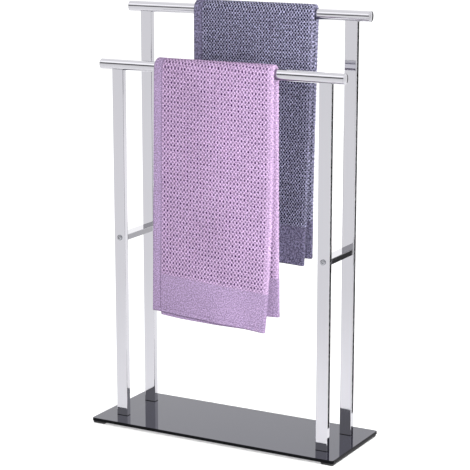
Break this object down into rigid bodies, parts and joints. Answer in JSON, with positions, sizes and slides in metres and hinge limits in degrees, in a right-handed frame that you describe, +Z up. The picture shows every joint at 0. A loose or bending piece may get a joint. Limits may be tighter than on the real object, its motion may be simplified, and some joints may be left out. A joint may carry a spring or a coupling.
{
  "type": "towel stand",
  "caption": "Free-standing towel stand: chromed tube frames, lower in front and taller behind, braced at the sides on a black glass base, a folded towel over each rail.",
  "frame": {"origin": "on the floor under the middle of the glass base", "axes": "+Z up, +Y towards the taller rear frame, +X to the right as seen from the front"},
  "size_m": [0.53, 0.2, 0.8313],
  "materials": {
    "chrome_frame": "polished",
    "zinc_hardware": "satin",
    "black_glass": "polished",
    "black_rubber": "matte",
    "black_nylon": "satin",
    "lilac_terry": "matte",
    "slate_terry": "matte"
  },
  "bodies": {
    "stand": {"post_front_left": "chrome_frame", "rail_cap_front_left": "chrome_frame", "brace_screw_front_left": "chrome_frame", "post_plug_front_left": "zinc_hardware", "brace_plug_front_left": "zinc_hardware", "base_bolt_front_left": "zinc_hardware", "post_gasket_front_left": "black_rubber", "glass_bush_front_left": "black_nylon", "post_front_right": "chrome_frame", "rail_cap_front_right": "chrome_frame", "brace_screw_front_right": "chrome_frame", "post_plug_front_right": "zinc_hardware", "brace_plug_front_right": "zinc_hardware", "base_bolt_front_right": "zinc_hardware", "post_gasket_front_right": "black_rubber", "glass_bush_front_right": "black_nylon", "post_rear_left": "chrome_frame", "rail_cap_rear_left": "chrome_frame", "brace_screw_rear_left": "chrome_frame", "post_plug_rear_left": "zinc_hardware", "brace_plug_rear_left": "zinc_hardware", "base_bolt_rear_left": "zinc_hardware", "post_gasket_rear_left": "black_rubber", "glass_bush_rear_left": "black_nylon", "post_rear_right": "chrome_frame", "rail_cap_rear_right": "chrome_frame", "brace_screw_rear_right": "chrome_frame", "post_plug_rear_right": "zinc_hardware", "brace_plug_rear_right": "zinc_hardware", "base_bolt_rear_right": "zinc_hardware", "post_gasket_rear_right": "black_rubber", "glass_bush_rear_right": "black_nylon", "base_plate": "black_glass", "foot_strip_left": "black_rubber", "foot_strip_right": "black_rubber", "front_rail": "chrome_frame", "rear_rail": "chrome_frame", "side_brace_left": "chrome_frame", "side_brace_right": "chrome_frame"},
    "front_towel": {"front_towel": "lilac_terry"},
    "rear_towel": {"rear_towel": "slate_terry"}
  },
  "joints": [
    {"name": "front_towel_slide", "type": "slide", "parent": "stand", "child": "front_towel", "axis": [1, 0, 0], "range_m": [-0.066, 0.084]},
    {"name": "rear_towel_slide", "type": "slide", "parent": "stand", "child": "rear_towel", "axis": [1, 0, 0], "range_m": [-0.095, 0.055]}
  ]
}
